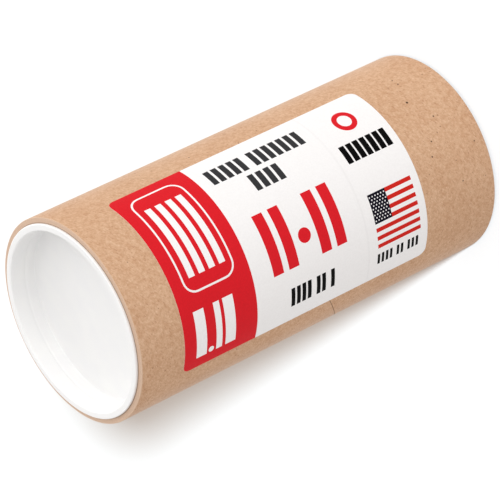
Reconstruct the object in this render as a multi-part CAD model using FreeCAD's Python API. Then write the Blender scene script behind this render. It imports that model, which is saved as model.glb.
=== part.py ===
import FreeCAD, Part
import math
import os
from FreeCAD import Base, Vector

# Cardboard mailing tube, standing on end: a spiral-wound kraft tube with a plastic plug cap in each end
# and one paper label. Millimetres, +Z along the tube, origin at the middle of the bottom cap's face.

# Tube
tube_bore = 76.2            # 3 in inside
tube_wall = 4.06            # 0.16 in of glued plies
tube_length = 180.0
tube_edge_radius = 0.3      # the saw-cut rims, slightly rubbed
seam_width = 0.4            # where the edges of the outer ply meet
seam_depth = 0.2
seam_pitch = 150.0          # climb of the outer ply in one turn
seam_angle = 170.0          # where the seam meets the top rim, counter-clockwise from the label's middle

# Plug cap, the same moulding at both ends
flange_reach = 1.73         # how far the flange covers the cut end of the wall
flange_thickness = 1.1
flange_edge_radius = 0.45
plug_clearance = 0.08       # radial, between the plug and the bore
plug_wall = 1.0
plug_draft = 0.2            # radius lost from the flange down to the floor
plug_lead_radius = 0.9      # rounded leading edge outside
recess_depth = 10.4         # from the cut end of the tube down to the cap's floor
floor_thickness = 1.2
floor_corner_radius = 0.6   # inside the cup
bead_depth = 5.8            # a shallow groove round the cup's wall, below the cut end
bead_width = 1.6
bead_relief = 0.22

# Label
label_length = 123.0        # along the tube
label_wrap = 81.5           # round the tube, along the paper
label_drop = 20.4           # from the tube's top rim to the label's top edge
label_corner = 3.2
label_thickness = 0.12
label_glue = 0.02

# Worked out from the sizes above
FRONT = -90.0               # the label's middle faces -Y, in degrees counter-clockwise from +X
bore_radius = tube_bore / 2
tube_radius = bore_radius + tube_wall
tube_bottom = flange_thickness
tube_top = tube_bottom + tube_length


def about_z(shape, degrees):
    shape.rotate(Vector(0, 0, 0), Vector(0, 0, 1), degrees)


def seam_groove():
    """Cutter for the shallow helical gap between the edges of the outer ply, past both rims."""
    overrun = 4 * seam_width
    climb = overrun + tube_length + overrun
    helix = Part.makeHelix(seam_pitch, climb, tube_radius)
    start = Vector(tube_radius, 0, 0)
    bottom = start + Vector(-seam_depth, 0, 0)
    low_lip = start + Vector(seam_depth, 0, -seam_width)
    high_lip = start + Vector(seam_depth, 0, seam_width)
    section = Part.makePolygon([bottom, low_lip, high_lip, bottom])
    cutter = Part.Wire(helix.Edges).makePipeShell([section], True, True)
    about_z(cutter, FRONT + seam_angle - 360 * (overrun + tube_length) / seam_pitch)
    cutter.translate(Vector(0, 0, tube_bottom - overrun))
    return cutter


def kraft_tube():
    """The paperboard tube: one wall, open right through, with rubbed rims and the ply's seam."""
    wall = Part.makeCylinder(tube_radius, tube_length, Vector(0, 0, tube_bottom))
    rims = [edge for edge in wall.Edges if isinstance(edge.Curve, Part.Circle)]
    wall = wall.makeFillet(tube_edge_radius, rims)
    bore = Part.makeCylinder(bore_radius, tube_length, Vector(0, 0, tube_bottom))
    return wall.cut(bore).cut(seam_groove())


def cup_radius(height):
    """Inside radius of the cap's cup, which narrows downwards as the plug does."""
    return bore_radius - plug_clearance - plug_wall + plug_draft * height / recess_depth


def at(radius, height):
    return Vector(radius, 0, height)


def cap():
    """Plug cap as seen from above, turned from its half section. Height 0 is the flange's underside."""
    plug_radius = bore_radius - plug_clearance
    floor_under = -recess_depth - floor_thickness
    lead_corner = at(plug_radius - plug_draft, floor_under)
    flange_rim = at(bore_radius + flange_reach, flange_thickness)
    cup_rim = at(cup_radius(flange_thickness), flange_thickness)
    bead_top = at(cup_radius(-bead_depth + bead_width / 2), -bead_depth + bead_width / 2)
    bead_middle = at(cup_radius(-bead_depth) + bead_relief, -bead_depth)
    bead_low = at(cup_radius(-bead_depth - bead_width / 2), -bead_depth - bead_width / 2)
    floor_corner = at(cup_radius(-recess_depth), -recess_depth)
    under = [at(0, floor_under), lead_corner, at(plug_radius, 0), at(flange_rim.x, 0),
             flange_rim, cup_rim, bead_top]
    inside = [bead_low, floor_corner, at(0, -recess_depth), at(0, floor_under)]
    edges = [Part.makeLine(a, b) for a, b in zip(under, under[1:])]
    edges.append(Part.Arc(bead_top, bead_middle, bead_low).toShape())
    edges += [Part.makeLine(a, b) for a, b in zip(inside, inside[1:])]
    solid = Part.Face(Part.Wire(edges)).revolve(Vector(0, 0, 0), Vector(0, 0, 1), 360)
    solid = rounded(solid, lead_corner, plug_lead_radius)
    solid = rounded(solid, flange_rim, flange_edge_radius)
    solid = rounded(solid, cup_rim, flange_edge_radius)
    return rounded(solid, floor_corner, floor_corner_radius)


def rounded(solid, corner, radius):
    """Rounds the circular edge that the section's corner draws."""
    near = [
        edge for edge in solid.Edges
        if isinstance(edge.Curve, Part.Circle)
        and math.isclose(edge.Curve.Radius, corner.x, abs_tol=1e-6)
        and math.isclose(edge.Curve.Center.z, corner.z, abs_tol=1e-6)
    ]
    return solid.makeFillet(radius, near)


def top_cap():
    piece = cap()
    piece.translate(Vector(0, 0, tube_top))
    return piece


def bottom_cap():
    piece = cap()
    piece.rotate(Vector(0, 0, 0), Vector(1, 0, 0), 180)
    piece.translate(Vector(0, 0, tube_bottom))
    return piece


def paper_label():
    """Paper sheet with rounded corners. Its outline is drawn on the glue's cylinder, as angle and height."""
    sheet = Part.Cylinder()
    sheet.Radius = tube_radius + label_glue
    half_turn = label_wrap / sheet.Radius / 2
    turn = label_corner / sheet.Radius
    left = math.radians(FRONT) - half_turn + turn
    right = math.radians(FRONT) + half_turn - turn
    top = tube_top - label_drop - label_corner
    low = tube_top - label_drop - label_length + label_corner

    def corner(angle, height, start):
        """Quarter round about a centre, starting at a right angle counted from straight up."""
        oval = Part.Geom2d.Ellipse2d(Base.Vector2d(angle, height), label_corner, turn)
        oval.XAxis = Base.Vector2d(0, 1)
        return Part.Geom2d.ArcOfEllipse2d(oval, math.radians(start), math.radians(start + 90))

    corners = [
        corner(left, low, 90),
        corner(right, low, 180),
        corner(right, top, 270),
        corner(left, top, 0),
    ]
    edges = []
    for arc, after in zip(corners, corners[1:] + corners[:1]):
        edges.append(arc.toShape(sheet))
        side = Part.Geom2d.Line2dSegment(arc.value(arc.LastParameter), after.value(after.FirstParameter))
        edges.append(side.toShape(sheet))
    return Part.Face(sheet, Part.Wire(edges)).makeOffsetShape(label_thickness, 1e-4, fill=True)


def main():
    os.makedirs("parts", exist_ok=True)
    pieces = {
        "kraft_tube": kraft_tube(),
        "top_cap": top_cap(),
        "bottom_cap": bottom_cap(),
        "paper_label": paper_label(),
    }
    for name, shape in pieces.items():
        solid, = shape.Solids
        print(name, "valid", solid.isValid(), "volume", round(solid.Volume, 1))
        solid.exportStep(f"parts/{name}.step")


main()
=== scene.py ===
# Cardboard mailing tube: a spiral-wound kraft tube with a white plug cap in each end and one printed label.
import math

import bpy
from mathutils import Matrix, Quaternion, Vector
from mathutils.geometry import delaunay_2d_cdt


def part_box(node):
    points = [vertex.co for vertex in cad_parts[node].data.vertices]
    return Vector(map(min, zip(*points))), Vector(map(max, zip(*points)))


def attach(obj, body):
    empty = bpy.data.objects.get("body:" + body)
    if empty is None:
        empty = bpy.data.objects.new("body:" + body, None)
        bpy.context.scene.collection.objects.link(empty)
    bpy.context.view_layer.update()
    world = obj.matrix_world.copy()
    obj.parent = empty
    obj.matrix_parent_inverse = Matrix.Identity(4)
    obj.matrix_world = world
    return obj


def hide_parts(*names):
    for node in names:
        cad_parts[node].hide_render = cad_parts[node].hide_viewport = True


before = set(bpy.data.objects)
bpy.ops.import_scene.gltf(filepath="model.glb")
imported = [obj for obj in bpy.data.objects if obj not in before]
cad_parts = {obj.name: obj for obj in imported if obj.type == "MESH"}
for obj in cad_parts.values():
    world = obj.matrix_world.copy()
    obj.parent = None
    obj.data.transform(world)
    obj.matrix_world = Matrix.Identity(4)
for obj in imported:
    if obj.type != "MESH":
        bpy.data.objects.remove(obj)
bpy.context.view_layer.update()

MM = 0.001
TOUCH = 0.001              # millimetres within which two radii count as the same

# Tube, in millimetres
BORE_RADIUS = 38.1
TUBE_RADIUS = 42.16
RIM_ROUND = 0.3            # the saw-cut rims, slightly rubbed
SEAM_PITCH = 150.0         # climb of the outer ply in one turn
SEAM_ANGLE = 170.0         # where its seam meets the top rim, counter-clockwise from the label's middle
SEAM_HALF_WIDTH = 0.2      # measured along the tube
SEAM_DEPTH = 0.2
SEAM_OPEN_DROP = 100.0     # below the top rim, where the photograph shows the seam: it gapes most there
SEAM_OPEN_SPACING = 104.0  # from there to the next such place
SEAM_OPEN_MEAN = 0.72      # share of its full depth
SEAM_OPEN_SWING = 0.28
LINER_DEPTH = 0.08         # the innermost ply's seam, seen in the bore
PLY_THICKNESS = 0.45
COLUMNS = 216
LINER_SEAM_COLUMN = COLUMNS // 3
ROW_HEIGHT = 1.5

# Plug caps, in millimetres, with height 0 at the flange's underside
FLANGE_OVERLAP = 1.73      # how far it covers the tube's end
FLANGE_RADIUS = BORE_RADIUS + FLANGE_OVERLAP
FLANGE_THICKNESS = 1.1
FLANGE_ROUND = 0.45
FLANGE_UNDER_ROUND = 0.2
PLUG_CLEARANCE = 0.08
PLUG_RADIUS = BORE_RADIUS - PLUG_CLEARANCE
PLUG_WALL = 1.0
PLUG_DRAFT = 0.2
PLUG_LEAD_ROUND = 0.9
RECESS_DEPTH = 10.4
FLOOR_THICKNESS = 1.2
FLOOR_CORNER_ROUND = 0.6
BEAD_DEPTH = 5.8           # how far down the cup its shallow groove is
BEAD_WIDTH = 1.6
BEAD_RELIEF = 0.22
BEAD_ROUND = BEAD_WIDTH * 0.8
BEAD_EDGE_ROUND = BEAD_WIDTH * 1.7
CAP_SEGMENTS = 192
CAP_SHARP_ANGLE = 40.0     # degrees between two faces, above which they meet in an edge

# Label, in millimetres. It is read with the top cap on the left: x runs down the tube and y round it.
LABEL_LENGTH = 123.0
LABEL_WRAP = 81.5
LABEL_DROP = 20.4          # from the tube's top rim to the label's top edge
LABEL_CORNER = 3.2
GLUE_GAP = 0.02
LABEL_RADIUS = TUBE_RADIUS + GLUE_GAP
LABEL_THICKNESS = 0.12
LABEL_STRIP = 1.8          # width of the flat strips that make up its curve
CREASE_X = 92.3            # a faint straight crease across the white, shown as a painted grey line of shade
CREASE_HALF_WIDTH = 0.2
CREASE_FADE = 0.7          # from its middle to where it has gone
CREASE_SHADE = 0.05         # share of painted grey shade in it

# Patterns of the surfaces, in millimetres
KRAFT_CLOUD = 18.0         # slow unevenness of the brown
KRAFT_FLOCK = 2.4          # clumps of fibre
KRAFT_GRAIN = 0.9          # and the mottle within them
FIBRE_LENGTH = 1.6
FIBRE_WIDTH = 0.4          # wider than real fibres, so that they show
FIBRE_TURNS = (0.3, 1.9)   # radians round the sheet, for the dark fibres and the pale ones
SPECK_SPACING = 3.2        # side of the squares of which about half hold a small bark speck
SAW_FUZZ = 0.6             # torn fibre on the cut ends
PLASTIC_SWELL = 9.0        # slow unevenness that shrinkage leaves in a moulding
PLASTIC_GRAIN = 0.5        # left by the mould's surface
LABEL_GRAIN = 0.7          # the sheet under its coat

# Taken from the frame
TUBE_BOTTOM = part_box("kraft_tube")[0].z / MM
TUBE_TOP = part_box("kraft_tube")[1].z / MM
FRONT = -90.0              # the label's middle faces -Y


def srgb(text):
    """Linear colour from an sRGB hex value."""
    parts = [int(text[i:i + 2], 16) / 255 for i in (0, 2, 4)]
    return [p / 12.92 if p <= 0.04045 else ((p + 0.055) / 1.055) ** 2.4 for p in parts] + [1.0]


def add(tree, kind, inputs=None, **settings):
    """Adds a node with its settings, and fills its inputs with values or links."""
    made = tree.nodes.new("ShaderNode" + kind)
    for name, value in settings.items():
        setattr(made, name, value)
    for key, value in (inputs or {}).items():
        if isinstance(value, bpy.types.NodeSocket):
            tree.links.new(value, made.inputs[key])
        else:
            made.inputs[key].default_value = value
    return made


def material(name, roughness, ior, **levels):
    """A material with its tree and shader, and the values that hold all over the surface."""
    made = bpy.data.materials.new(name)
    made.use_nodes = True
    shader = made.node_tree.nodes["Principled BSDF"]
    shader.inputs["Roughness"].default_value = roughness
    shader.inputs["IOR"].default_value = ior
    for key, value in levels.items():
        shader.inputs[key.replace("_", " ")].default_value = value
    return made, made.node_tree, shader


def blend(tree, amount, low, high):
    """Colour between low and high."""
    return add(tree, "Mix", {0: amount, 6: low, 7: high}, data_type="RGBA").outputs[2]


def ramp(tree, value, start, end, low=0.0, high=1.0):
    """Value moved from the range start..end to low..high, and held there."""
    inputs = {"Value": value, "From Min": start, "From Max": end, "To Min": low, "To Max": high}
    return add(tree, "MapRange", inputs, interpolation_type="SMOOTHSTEP").outputs["Result"]


def on_wall(drop, turn):
    """Point on the tube's outside, by its distance below the top rim and its turn from the front."""
    angle = math.radians(FRONT + turn)
    height = TUBE_TOP - drop
    return Vector((TUBE_RADIUS * math.cos(angle), TUBE_RADIUS * math.sin(angle), height)) * MM


# The largest bark specks: distance below the top rim in mm, turn from the front in degrees, radius in mm
SPECKS = [
    (157.4, 31.5, 0.62),
    (161.6, 45.4, 0.42),
    (161.5, 49.8, 0.34),
    (163.3, 17.8, 0.42),
    (156.1, 5.9, 0.4),
    (153.3, -1.7, 0.42),
    (175.1, -3.7, 0.34),
    (164.1, -21.0, 0.38),
    (66.0, 64.2, 0.36),
]


def kraft_liner(name, light, dark):
    """Unbleached kraft paper: wood fibres felted on a wire, so its brown is mottled, stroked and specked."""
    # Fibre soaks up what falls on it squarely, and loose ends catch light where the face is seen edge on
    made, tree, shader = material(name, roughness=0.5, ior=1.5, Specular_IOR_Level=0.0, Sheen_Weight=0.4,
                                  Sheen_Roughness=0.28)
    place = add(tree, "UVMap", uv_map="PaperMillimetres").outputs["UV"]
    solid = add(tree, "TexCoord").outputs["Object"]
    # Its tone is uneven at three scales
    cloud = add(tree, "TexNoise", {"Vector": place, "Scale": 1 / KRAFT_CLOUD, "Detail": 2.0}).outputs[0]
    clumps = {"Vector": place, "Scale": 1 / KRAFT_FLOCK, "Detail": 2.0, "Roughness": 0.7}
    flock = add(tree, "TexNoise", clumps).outputs[0]
    fine = {"Vector": place, "Scale": 1 / KRAFT_GRAIN, "Detail": 2.0, "Roughness": 0.6}
    grain = add(tree, "TexNoise", fine).outputs[0]
    clouded = ramp(tree, cloud, 0.3, 0.7, 0.08, 0.22)
    flocked = ramp(tree, flock, 0.3, 0.7, 0.0, 0.4)
    grained = ramp(tree, grain, 0.3, 0.7, 0.0, 0.35)
    tone = add(tree, "Math", {0: clouded, 1: flocked})
    tone = add(tree, "Math", {0: tone.outputs[0], 1: grained})
    colour = blend(tree, tone.outputs[0], light, dark)
    # Single fibres, some darker and some paler, lie in two directions
    fibre = (1 / FIBRE_LENGTH, 1 / FIBRE_WIDTH, 1)
    along = add(tree, "Mapping", {"Vector": place, "Rotation": (0, 0, FIBRE_TURNS[0]), "Scale": fibre})
    across = add(tree, "Mapping", {"Vector": place, "Rotation": (0, 0, FIBRE_TURNS[1]), "Scale": fibre})
    strokes = add(tree, "TexNoise", {"Vector": along.outputs[0], "Scale": 1.0, "Detail": 1.0}).outputs[0]
    hairs = add(tree, "TexNoise", {"Vector": across.outputs[0], "Scale": 1.0, "Detail": 1.0}).outputs[0]
    colour = blend(tree, ramp(tree, strokes, 0.58, 0.74, 0.0, 0.45), colour, srgb("9C6546"))
    colour = blend(tree, ramp(tree, hairs, 0.58, 0.74, 0.0, 0.4), colour, srgb("F0D4B6"))
    # Small bark specks, real ones 0.2 mm across, are drawn at 0.5 mm so that they show
    cells = add(tree, "TexVoronoi", {"Vector": place, "Scale": 1 / SPECK_SPACING}).outputs
    lot = add(tree, "SeparateColor", {0: cells["Color"]}).outputs[0]
    chosen = ramp(tree, lot, 0.45, 0.95, 0.0, 0.7)
    inside = ramp(tree, cells["Distance"], 0.04, 0.12, 1.0, 0.0)
    speck = add(tree, "Math", {0: inside, 1: chosen}, operation="MULTIPLY")
    colour = blend(tree, speck.outputs[0], colour, srgb("74482C"))
    for drop, turn, radius in SPECKS:
        apart = add(tree, "VectorMath", {0: solid, 1: on_wall(drop, turn)}, operation="DISTANCE")
        inside = ramp(tree, apart.outputs["Value"], radius * MM * 0.4, radius * MM * 1.2, 0.95, 0.0)
        colour = blend(tree, inside, colour, srgb("3E2417"))
    # Painted shade in the seams' grooves, darkest where they gape deepest
    gap = add(tree, "Attribute", attribute_name="Gap").outputs["Fac"]
    colour = blend(tree, ramp(tree, gap, 0.0, 1.0, 0.0, 0.9), colour, srgb("3A2416"))
    tree.links.new(colour, shader.inputs["Base Color"])
    height = add(tree, "Math", {0: flock, 1: strokes}, operation="ADD").outputs[0]
    bump = add(tree, "Bump", {"Height": height, "Strength": 0.6, "Distance": 0.03 * MM})
    tree.links.new(bump.outputs[0], shader.inputs["Normal"])
    return made


def cut_board():
    """Sawn edge of the glued plies: rings of fibre and glue, with a painted highlight at the outer rim and
    painted shade by the cap's flange.
    """
    made, tree, shader = material("Sawn paperboard edge", roughness=0.85, ior=1.47)
    place = add(tree, "TexCoord").outputs["Object"]
    # At a scale of 1 the wave repeats every 2 pi / 20 metres, and here once a ply
    wave_scale = 2 * math.pi / 20 / (PLY_THICKNESS * MM)
    plies = {"Vector": place, "Scale": wave_scale, "Distortion": 1.2, "Detail": 2.0, "Detail Scale": 0.4}
    rings = add(tree, "TexWave", plies, wave_type="RINGS", rings_direction="Z").outputs[1]
    fuzz = add(tree, "TexNoise", {"Vector": place, "Scale": 1 / (SAW_FUZZ * MM), "Detail": 4.0}).outputs[0]
    colour = blend(tree, ramp(tree, rings, 0.2, 0.9, 0.0, 0.55), srgb("D9BAA2"), srgb("BB9A83"))
    colour = blend(tree, ramp(tree, fuzz, 0.35, 0.7, 0.0, 0.5), colour, srgb("DEC1A7"))
    flat = add(tree, "VectorMath", {0: place, 1: (1, 1, 0)}, operation="MULTIPLY").outputs[0]
    radius = add(tree, "VectorMath", {0: flat}, operation="LENGTH").outputs["Value"]
    # Painted highlight along the rounded outer rim, and painted shade in the gap under the cap's flange;
    # both are gone within half a millimetre
    rim_highlight = ramp(tree, radius, (TUBE_RADIUS - 0.5) * MM, (TUBE_RADIUS - 0.1) * MM, 0.0, 0.5)
    colour = blend(tree, rim_highlight, colour, srgb("DDBD9E"))
    # Painted shade: darker where the cap's flange overhangs the cut end
    flange_shadow = ramp(tree, radius, (FLANGE_RADIUS + 0.1) * MM, (FLANGE_RADIUS + 0.5) * MM, 0.55, 0.0)
    colour = blend(tree, flange_shadow, colour, srgb("6E5A50"))
    tree.links.new(colour, shader.inputs["Base Color"])
    height = add(tree, "Math", {0: rings, 1: fuzz}, operation="ADD").outputs[0]
    bump = add(tree, "Bump", {"Height": height, "Strength": 0.7, "Distance": 0.06 * MM})
    tree.links.new(bump.outputs[0], shader.inputs["Normal"])
    return made


def moulded_polyethylene():
    """Low-density polyethylene, injection moulded: milky white, satin, with light just under the skin."""
    made, tree, shader = material("White moulded polyethylene", roughness=0.36, ior=1.51,
                                  Subsurface_Weight=0.15, Subsurface_Radius=(1.0, 1.0, 1.0),
                                  Subsurface_Scale=1.0 * MM)
    place = add(tree, "TexCoord").outputs["Object"]
    wide = {"Vector": place, "Scale": 1 / (PLASTIC_SWELL * MM), "Detail": 2.0}
    swell = add(tree, "TexNoise", wide).outputs[0]
    fine = {"Vector": place, "Scale": 1 / (PLASTIC_GRAIN * MM), "Detail": 2.0}
    grain = add(tree, "TexNoise", fine).outputs[0]
    colour = blend(tree, ramp(tree, swell, 0.3, 0.7), srgb("F4F4F3"), srgb("F2F2F2"))
    tree.links.new(colour, shader.inputs["Base Color"])
    slight = add(tree, "Math", {0: grain, 1: 0.05}, operation="MULTIPLY").outputs[0]
    height = add(tree, "Math", {0: swell, 1: slight}, operation="ADD").outputs[0]
    bump = add(tree, "Bump", {"Height": height, "Strength": 0.4, "Distance": 0.06 * MM})
    tree.links.new(bump.outputs[0], shader.inputs["Normal"])
    return made


def label_stock(name, colour, tint, level=0.5):
    """Coated label paper, or ink laid on it: a close coat with the faint grain of the sheet under it."""
    made, tree, shader = material(name, roughness=0.5, ior=1.5, Specular_IOR_Level=level)
    place = add(tree, "TexCoord").outputs["Object"]
    fine = {"Vector": place, "Scale": 1 / (LABEL_GRAIN * MM), "Detail": 3.0}
    grain = add(tree, "TexNoise", fine).outputs[0]
    height = add(tree, "SeparateXYZ", {0: place}).outputs["Z"]
    crease_height = (TUBE_TOP - LABEL_DROP - CREASE_X) * MM
    off = add(tree, "Math", {0: height, 1: crease_height}, operation="SUBTRACT").outputs[0]
    off = add(tree, "Math", {0: off}, operation="ABSOLUTE").outputs[0]
    mottle = blend(tree, ramp(tree, grain, 0.35, 0.65, 0.0, 0.6), colour, tint)
    # The crease is painted shade: a faint grey line across the paper and every ink
    crease_shade = ramp(tree, off, CREASE_HALF_WIDTH * MM, CREASE_FADE * MM, CREASE_SHADE, 0.0)
    tree.links.new(blend(tree, crease_shade, mottle, srgb("8C8C90")), shader.inputs["Base Color"])
    bump = add(tree, "Bump", {"Height": grain, "Strength": 0.3, "Distance": 0.01 * MM})
    tree.links.new(bump.outputs[0], shader.inputs["Normal"])
    return made


def rounded(corners, steps=6):
    """Closed outline through (x, y, radius) corners, with an arc in place of each that has a radius."""
    points = []
    for i, (x, y, radius) in enumerate(corners):
        corner = Vector((x, y))
        if not radius:
            points.append(corner)
            continue
        back = (Vector(corners[i - 1][:2]) - corner).normalized()
        on = (Vector(corners[(i + 1) % len(corners)][:2]) - corner).normalized()
        half = back.angle(on) / 2
        middle = corner + (back + on).normalized() * radius / math.sin(half)
        start = corner + back * radius / math.tan(half) - middle
        turn = start.angle_signed(corner + on * radius / math.tan(half) - middle)
        for step in range(steps + 1):
            angle = -turn * step / steps
            cos, sin = math.cos(angle), math.sin(angle)
            points.append(middle + Vector((start.x * cos - start.y * sin, start.x * sin + start.y * cos)))
    return points


def divided(points, longest):
    """The closed outline with no run longer than that."""
    out = []
    for a, b in zip(points, points[1:] + points[:1]):
        pieces = max(1, math.ceil((b - a).length / longest))
        out += [a.lerp(b, k / pieces) for k in range(pieces)]
    return out


def turned(radius, angle, height):
    """Point at a radius in mm, an angle in degrees from +X and a height in mm."""
    a = math.radians(angle)
    return radius * MM * math.cos(a), radius * MM * math.sin(a), height * MM


def make_piece(name, points, faces, materials, body, node):
    """A smooth mesh that rides on a body and stands for a node."""
    mesh = bpy.data.meshes.new(name)
    mesh.from_pydata(points, [], faces)
    for entry in materials:
        mesh.materials.append(entry)
    mesh.shade_smooth()
    made = bpy.data.objects.new(name, mesh)
    bpy.context.scene.collection.objects.link(made)
    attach(made, body)
    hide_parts(node)
    return made


def seam_turn(height):
    """Where the outer ply's seam is at a height, in degrees from +X."""
    return FRONT + SEAM_ANGLE + 360 * (height - TUBE_TOP) / SEAM_PITCH


def seam_opening(height):
    """How far the outer ply's edges gape, from 0 to 1, in a slow swell along the tube."""
    swell = math.cos(2 * math.pi * (TUBE_TOP - height - SEAM_OPEN_DROP) / SEAM_OPEN_SPACING)
    return SEAM_OPEN_MEAN + SEAM_OPEN_SWING * swell


KRAFT_FACE, CORE_FACE, CUT_FACE = range(3)


def build_tube():
    """The wall as a grid whose columns climb with the plies, so that the seams run down its columns."""
    section = rounded([
        (TUBE_RADIUS, TUBE_BOTTOM, RIM_ROUND),
        (TUBE_RADIUS, TUBE_TOP, RIM_ROUND),
        (BORE_RADIUS, TUBE_TOP, 0),
        (BORE_RADIUS, TUBE_BOTTOM, 0),
    ], steps=4)
    rows = divided(section, ROW_HEIGHT)
    lip = 360 * SEAM_HALF_WIDTH / SEAM_PITCH
    even = [360 * k / COLUMNS for k in range(1, COLUMNS)]
    liner_seam = even[LINER_SEAM_COLUMN]
    columns = [0.0, lip] + even + [360 - lip]
    columns = sorted(columns + [liner_seam - lip, liner_seam + lip])
    points, gaps = [], []
    for radius, height in rows:
        for offset in columns:
            reach = radius
            if offset == 0.0:
                reach = min(reach, TUBE_RADIUS - SEAM_DEPTH * seam_opening(height))
            if offset == liner_seam:
                reach = max(reach, BORE_RADIUS + LINER_DEPTH)
            # How deep the seam's groove is here, which sets the painted shade in it
            gaps.append(abs(reach - radius) / SEAM_DEPTH)
            points.append(turned(reach, seam_turn(height) + offset, height))
    count = len(columns)
    lead = math.atan(SEAM_PITCH / (2 * math.pi * TUBE_RADIUS))
    faces, kinds, paper = [], [], []
    for k, row in enumerate(rows):
        after = rows[(k + 1) % len(rows)]
        outside = min(row.x, after.x) > TUBE_RADIUS - TOUCH
        bore = max(row.x, after.x) < BORE_RADIUS + TOUCH
        for i in range(count):
            j = (i + 1) % count
            low, high = k * count, (k + 1) % len(rows) * count
            faces.append((low + j, high + j, high + i, low + i))
            ends = columns[i], columns[j] or 360.0
            kinds.append(KRAFT_FACE if outside else CORE_FACE if bore else CUT_FACE)
            for offset, place in ((ends[1], row), (ends[1], after), (ends[0], after), (ends[0], row)):
                round_way = place.x * math.radians(360 * place.y / SEAM_PITCH + offset)
                along = round_way * math.cos(lead) + place.y * math.sin(lead)
                paper.append((along, place.x * math.radians(offset) * math.sin(lead)))
    kraft = kraft_liner("Kraft liner paper", srgb("E2BF9F"), srgb("C39673"))
    inner = kraft_liner("Kraft core paper", srgb("D2AC8A"), srgb("AF8763"))
    made = make_piece("kraft_tube_wall", points, faces, [kraft, inner, cut_board()], "tube",
                      "kraft_tube")
    made.data.attributes.new("Gap", "FLOAT", "POINT").data.foreach_set("value", gaps)
    for face, kind in zip(made.data.polygons, kinds):
        face.material_index = kind
    layer = made.data.uv_layers.new(name="PaperMillimetres")
    for loop, place in zip(layer.data, paper):
        loop.uv = place
    made.modifiers.new("Flats stay flat", "WEIGHTED_NORMAL").keep_sharp = True
    return made


def cup_radius(height):
    """Inside radius of the cap's cup, which narrows downwards as the plug does."""
    return PLUG_RADIUS - PLUG_WALL + PLUG_DRAFT * height / RECESS_DEPTH


def cap_section():
    """Half section of a cap with its flange up, from under the floor's middle round to its top."""
    under = -RECESS_DEPTH - FLOOR_THICKNESS
    bead_top = -BEAD_DEPTH + BEAD_WIDTH / 2
    bead_low = -BEAD_DEPTH - BEAD_WIDTH / 2
    return rounded([
        (0, under, 0),
        (PLUG_RADIUS - PLUG_DRAFT, under, PLUG_LEAD_ROUND),
        (PLUG_RADIUS, 0, 0),
        (FLANGE_RADIUS, 0, FLANGE_UNDER_ROUND),
        (FLANGE_RADIUS, FLANGE_THICKNESS, FLANGE_ROUND),
        (cup_radius(FLANGE_THICKNESS), FLANGE_THICKNESS, FLANGE_ROUND),
        (cup_radius(bead_top), bead_top, BEAD_EDGE_ROUND),
        (cup_radius(-BEAD_DEPTH) + BEAD_RELIEF, -BEAD_DEPTH, BEAD_ROUND),
        (cup_radius(bead_low), bead_low, BEAD_EDGE_ROUND),
        (cup_radius(-RECESS_DEPTH), -RECESS_DEPTH, FLOOR_CORNER_ROUND),
        (0, -RECESS_DEPTH, 0),
    ])


def build_cap(name, node, seat, upwards, plastic):
    """A cap turned from its half section, with its flange on the rim at the seat's height."""
    section = cap_section()
    inner = section[1:-1]
    points = [(0, 0, (seat + upwards * section[0].y) * MM), (0, 0, (seat + upwards * section[-1].y) * MM)]
    for radius, height in inner:
        for k in range(CAP_SEGMENTS):
            points.append(turned(radius, upwards * 360 * k / CAP_SEGMENTS, seat + upwards * height))
    faces = []
    for k in range(CAP_SEGMENTS):
        j = (k + 1) % CAP_SEGMENTS
        last = 2 + (len(inner) - 1) * CAP_SEGMENTS
        faces.append((0, 2 + j, 2 + k))
        faces.append((last + k, last + j, 1))
        for row in range(len(inner) - 1):
            low = 2 + row * CAP_SEGMENTS
            high = low + CAP_SEGMENTS
            faces.append((low + k, low + j, high + j, high + k))
    made = make_piece(name, points, faces, [plastic], node, node)
    made.data.set_sharp_from_angle(angle=math.radians(CAP_SHARP_ANGLE))
    made.modifiers.new("Flats stay flat", "WEIGHTED_NORMAL").keep_sharp = True
    return made


def block(x, y, width, height, radius=0.0):
    """Rectangle by its upper left corner, in label millimetres."""
    right, low = x + width, y + height
    return rounded([(x, y, radius), (right, y, radius), (right, low, radius), (x, low, radius)])


def disc(x, y, radius, steps=32):
    """Circle by its middle, in label millimetres."""
    points = []
    for k in range(steps):
        angle = 2 * math.pi * k / steps
        points.append(Vector((x + radius * math.cos(angle), y + radius * math.sin(angle))))
    return points


WORD_SPACE = 0.65          # between two groups of blocks, in blocks


def row_of_blocks(x, y, height, pitch, words, cover=0.7):
    """Plain upright blocks in groups, in place of a line of print."""
    shapes = []
    for count in words:
        shapes += [block(x + pitch * k, y, pitch * cover, height) for k in range(count)]
        x += pitch * (count + WORD_SPACE)
    return shapes


PAPER, RED, GREY, BLACK, NAVY, FLAG_RED, EDGE = range(7)

FLAG_STRIPES = 13
FLAG_CORNER = 0.395        # of its width
STAR_LINES = 9
STARS_IN_LINE = 6          # and one fewer in every second line
STAR_RADIUS = 0.32


def flag(x, y, width, height):
    """Flag of thirteen stripes, with lines of small white stars, drawn as dots, on its blue corner."""
    stripe = height / FLAG_STRIPES
    red_stripes = FLAG_STRIPES // 2 + 1
    corner = FLAG_CORNER * width, red_stripes * stripe
    shapes = [(FLAG_RED, block(x, y + 2 * k * stripe, width, stripe)) for k in range(red_stripes)]
    shapes.append((NAVY, block(x, y, *corner)))
    for line in range(STAR_LINES):
        down = y + corner[1] * (line + 1) / (STAR_LINES + 1)
        for k in range(STARS_IN_LINE - line % 2):
            across = x + corner[0] * (2 * k + 1 + line % 2) / (2 * STARS_IN_LINE)
            shapes.append((PAPER, disc(across, down, STAR_RADIUS, steps=8)))
    return shapes


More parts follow.
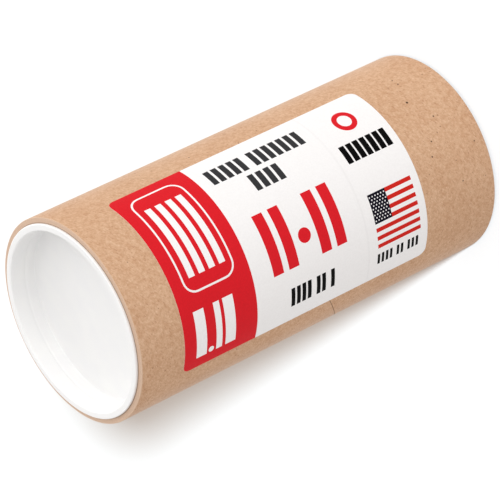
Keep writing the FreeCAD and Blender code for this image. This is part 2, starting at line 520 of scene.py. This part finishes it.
def label_print():
    """Everything on the label as (ink, outline) in label millimetres, the later over the earlier."""
    shapes = [(PAPER, block(0, 0, LABEL_LENGTH, LABEL_WRAP, LABEL_CORNER))]
    # Red field, with a framed panel of four bars and a row of three bars and a dot below it
    shapes.append((RED, block(0, 0, 35.6, LABEL_WRAP)))
    shapes.append((PAPER, block(5.4, 4.6, 24.4, 45.0, 5.5)))
    shapes.append((RED, block(6.2, 5.4, 22.8, 43.4, 4.7)))
    shapes += [(PAPER, block(x, 11.8, 2.9, 31.7)) for x in (8.9, 13.8, 18.7, 23.6)]
    shapes += [(PAPER, block(5.8, 56.0, 5.0, 20.5)), (PAPER, disc(13.0, 75.2, 1.3))]
    shapes += [(PAPER, block(x, 56.0, width, 20.5)) for x, width in ((15.4, 2.9), (19.9, 5.0))]
    # White field: two lines of grey blocks, four red bars with a disc, and a line of black blocks
    shapes += [(GREY, s) for s in row_of_blocks(40.9, 7.0, 7.8, 3.72, (5, 7))]
    shapes += [(GREY, s) for s in row_of_blocks(54.6, 17.1, 7.7, 3.9, (4,))]
    shapes += [(RED, block(x, 32.8, 5.0, 25.0)) for x in (45.3, 53.0, 69.6, 77.3)]
    shapes.append((RED, disc(63.8, 47.8, 3.0)))
    shapes += [(BLACK, s) for s in row_of_blocks(52.6, 65.8, 8.3, 2.75, (4, 2, 1))]
    # Beyond the crease: a ring over a row of blocks, and the flag over a finer row
    shapes += [(RED, disc(107.9, 13.0, 5.2)), (PAPER, disc(107.9, 13.0, 3.0))]
    shapes += [(BLACK, s) for s in row_of_blocks(96.4, 22.8, 8.0, 3.4, (7,), cover=0.78)]
    shapes += flag(97.1, 44.6, 22.3, 22.4)
    shapes += [(BLACK, s) for s in row_of_blocks(96.8, 69.6, 4.6, 2.15, (4, 2, 3), cover=0.6)]
    return shapes


def wrapped(x, y, radius):
    """Point of the label at a radius, from its place on the flat sheet."""
    turn = (LABEL_WRAP / 2 - y) / LABEL_RADIUS
    return turned(radius, FRONT + math.degrees(turn), TUBE_TOP - LABEL_DROP - x)


def build_label():
    """The printed sheet: flat fields of paper and ink, wrapped round the tube as one thin solid."""
    shapes = label_print()
    points, outlines, strips = [], [], []
    for ink, outline in shapes:
        outlines.append(list(range(len(points), len(points) + len(outline))))
        points += outline
    count = math.ceil(LABEL_WRAP / LABEL_STRIP)
    for k in range(1, count):
        strips.append((len(points), len(points) + 1))
        points += [Vector((0, LABEL_WRAP * k / count)), Vector((LABEL_LENGTH, LABEL_WRAP * k / count))]
    # Output 0 is every triangle out to the hull, and points nearer than the last value become one
    flat, _, faces, _, _, sources = delaunay_2d_cdt(points, strips, outlines, 0, 1e-5)
    kept = [(face, shapes[max(source)][0]) for face, source in zip(faces, sources) if 0 in source]
    used = sorted({v for face, _ in kept for v in face})
    number = {v: k for k, v in enumerate(used)}
    top = [wrapped(flat[v].x, flat[v].y, LABEL_RADIUS + LABEL_THICKNESS) for v in used]
    under = [wrapped(flat[v].x, flat[v].y, LABEL_RADIUS) for v in used]
    upper = [[number[v] for v in face] for face, _ in kept]
    if sheet_faces_inwards(flat, kept[0][0]):
        upper = [face[::-1] for face in upper]
    lower = [[v + len(used) for v in reversed(face)] for face in upper]
    sides = {(a, b) for face in upper for a, b in zip(face, face[1:] + face[:1])}
    rim = [(b, a) for a, b in sorted(sides) if (b, a) not in sides]
    rim = [(a, b, b + len(used), a + len(used)) for a, b in rim]
    sheet = upper + lower + rim
    made = make_piece("printed_label", top + under, sheet, label_materials(), "tube",
                      "paper_label")
    inks = [ink for _, ink in kept] + [EDGE] * (len(lower) + len(rim))
    for face, ink in zip(made.data.polygons, inks):
        face.material_index = ink
    round_normals(made.data, len(upper), len(lower))
    return made


def sheet_faces_inwards(flat, face):
    """True if a flat face's corners run so that the wrapped face would look into the tube."""
    a, b, c = (Vector(wrapped(flat[v].x, flat[v].y, LABEL_RADIUS)) for v in face[:3])
    outwards = Vector((a.x, a.y, 0))
    return (b - a).cross(c - a).dot(outwards) < 0


def round_normals(mesh, upper, lower):
    """Gives both sides of the sheet the exact normals of the tube, and leaves its edge sharp."""
    normals = [None] * len(mesh.loops)
    for face in mesh.polygons:
        for loop in face.loop_indices:
            spot = mesh.vertices[mesh.loops[loop].vertex_index].co
            outwards = Vector((spot.x, spot.y, 0)).normalized()
            if face.index < upper:
                normals[loop] = outwards
            elif face.index < upper + lower:
                normals[loop] = -outwards
            else:
                normals[loop] = face.normal.copy()
    mesh.normals_split_custom_set(normals)


def label_materials():
    """The white coat and the inks, in the order of their numbers, then the paper's edge and back."""
    return [
        label_stock("Coated white label paper", srgb("F8F8F8"), srgb("F3F3F3")),
        label_stock("Red print ink", srgb("DE212B"), srgb("D42029"), level=0.05),
        label_stock("Dark grey print ink", srgb("323234"), srgb("39393B"), level=0.05),
        label_stock("Black print ink", srgb("040404"), srgb("090909"), level=0.03),
        label_stock("Navy print ink", srgb("0A0918"), srgb("11101E"), level=0.05),
        label_stock("Warm red print ink", srgb("D42820"), srgb("CC2820"), level=0.05),
        label_stock("Uncoated label paper", srgb("E9E6E0"), srgb("DEDAD2")),
    ]


# Camera, fitted to the photograph, which is 500 by 500 pixels
CAMERA_AIM = Vector((-4.978, 1.942, 94.527)) * MM
CAMERA_DISTANCE = 1339.23 * MM
CAMERA_AZIMUTH = 2.416
CAMERA_ELEVATION = 32.104
CAMERA_ROLL = 115.74       # its up turned towards its right, since the photograph shows the tube lying
CAMERA_LENS = 246.24
CAMERA_SENSOR = 36.0


def direction(azimuth, elevation):
    """Unit vector towards an azimuth, 0 in front of the object and 90 on its right, and an elevation."""
    a, e = math.radians(azimuth), math.radians(elevation)
    return Vector((math.sin(a) * math.cos(e), -math.cos(a) * math.cos(e), math.sin(e)))


def build_camera():
    """The camera, where the photograph was taken from."""
    lens = bpy.data.cameras.new("camera")
    lens.lens = CAMERA_LENS
    lens.sensor_width = CAMERA_SENSOR
    camera = bpy.data.objects.new("camera", lens)
    bpy.context.scene.collection.objects.link(camera)
    back = direction(CAMERA_AZIMUTH, CAMERA_ELEVATION)
    camera.location = CAMERA_AIM + back * CAMERA_DISTANCE
    camera.rotation_mode = "QUATERNION"
    level = (-back).to_track_quat("-Z", "Y")
    camera.rotation_quaternion = level @ Quaternion((0, 0, 1), -math.radians(CAMERA_ROLL))
    bpy.context.scene.camera = camera


# Lamps as (azimuth, elevation, level, width). The angles are in degrees, and the level is what a white
# surface square to the lamp gains from it.
SIDE_BOX = (46.0, 28.0, 0.405, 70.0)     # towards the side that the photograph shows uppermost
BACK_BOX = (140.0, 12.0, 0.28, 50.0)     # for the edge of that side
FLOOR_BOX = (6.9, 29.8, 2.72, 5.0)       # its shadow runs along the tube's lower side, as in the photograph
FLOOR_BOX_COLOUR = (0.62, 0.815, 1.0)    # cool, so that what it leaves in shadow is warm
# The surround is brightest low down, where the sweep and the studio walls are, and dimmer on the shaded side
HORIZON = (0.89, 0.865, 0.85, 1.0)
ZENITH = (0.7, 0.69, 0.685, 1.0)
SHADED_WALL = 0.96
BRIGHT_WALL = 1.04


def soft_box(name, place, floor, linked, colour=(1.0, 1.0, 1.0)):
    """A lamp that lights the floor alone, or all but the floor."""
    azimuth, elevation, level, width = place
    light = bpy.data.lights.new(name, "SUN")
    light.energy = level * math.pi
    light.angle = math.radians(width)
    light.color = colour
    lamp = bpy.data.objects.new(name, light)
    lamp.rotation_mode = "QUATERNION"
    lamp.rotation_quaternion = direction(azimuth, elevation).to_track_quat("Z", "Y")
    bpy.context.scene.collection.objects.link(lamp)
    receivers = bpy.data.collections.new(name + " on the floor")
    receivers.objects.link(floor)
    receivers.collection_objects[0].light_linking.link_state = linked
    lamp.light_linking.receiver_collection = receivers


def build_light(floor):
    """Soft lamps and a surround, which is plain white where it is seen directly."""
    soft_box("side soft box", SIDE_BOX, floor, "EXCLUDE")
    soft_box("back soft box", BACK_BOX, floor, "EXCLUDE")
    soft_box("floor soft box", FLOOR_BOX, floor, "INCLUDE", FLOOR_BOX_COLOUR)
    world = bpy.data.worlds.new("surround")
    world.use_nodes = True
    bpy.context.scene.world = world
    tree = world.node_tree
    tree.nodes.clear()
    towards = add(tree, "SeparateXYZ", {0: add(tree, "TexCoord").outputs["Generated"]}).outputs
    walls = ramp(tree, towards["X"], -1.0, 1.0, SHADED_WALL, BRIGHT_WALL)
    sky = blend(tree, towards["Z"], HORIZON, ZENITH)
    surround = add(tree, "Background", {"Color": sky, "Strength": walls})
    white = add(tree, "Background", {"Color": (1, 1, 1, 1), "Strength": 1.0})
    shown = add(tree, "MixShader", {0: seen_directly(tree), 1: surround.outputs[0], 2: white.outputs[0]})
    add(tree, "OutputWorld", {0: shown.outputs[0]})


def seen_directly(tree):
    """1 for a camera, glossy or transmission ray."""
    path = add(tree, "LightPath").outputs
    seen = add(tree, "Math", {0: path["Is Camera Ray"], 1: path["Is Glossy Ray"]}, operation="MAXIMUM")
    both = {0: seen.outputs[0], 1: path["Is Transmission Ray"]}
    return add(tree, "Math", both, operation="MAXIMUM").outputs[0]


FLOOR_REACH = 20.0                       # metres
FLOOR_BOUNCE = (0.43, 0.35, 0.3, 1.0)    # the paper as the object meets it
FLOOR_SHOWN = (0.665, 0.585, 0.52, 1.0)  # and as it is seen directly, where all the lamps bring it to white
FLOOR_GLOW = 0.01


def build_floor():
    """Plain white floor. Seen directly it is white, and keeps the object's shadow."""
    mesh = bpy.data.meshes.new("floor")
    r = FLOOR_REACH
    mesh.from_pydata([(-r, -r, 0), (r, -r, 0), (r, r, 0), (-r, r, 0)], [], [(0, 1, 2, 3)])
    made = bpy.data.materials.new("White paper sweep")
    made.use_nodes = True
    tree = made.node_tree
    tree.nodes.clear()
    paper = add(tree, "BsdfDiffuse", {"Color": FLOOR_BOUNCE})
    shaded = add(tree, "BsdfDiffuse", {"Color": FLOOR_SHOWN})
    glow = add(tree, "Emission", {"Color": (1, 1, 1, 1), "Strength": FLOOR_GLOW})
    lit = add(tree, "AddShader", {0: shaded.outputs[0], 1: glow.outputs[0]})
    shown = add(tree, "MixShader", {0: seen_directly(tree), 1: paper.outputs[0], 2: lit.outputs[0]})
    add(tree, "OutputMaterial", {0: shown.outputs[0]})
    mesh.materials.append(made)
    floor = bpy.data.objects.new("floor", mesh)
    bpy.context.scene.collection.objects.link(floor)
    return floor


bpy.context.scene.view_settings.view_transform = "Standard"
build_camera()
build_light(build_floor())
build_tube()
white_plastic = moulded_polyethylene()
build_cap("top_cap_moulding", "top_cap", TUBE_TOP, 1, white_plastic)
build_cap("bottom_cap_moulding", "bottom_cap", TUBE_BOTTOM, -1, white_plastic)
build_label()
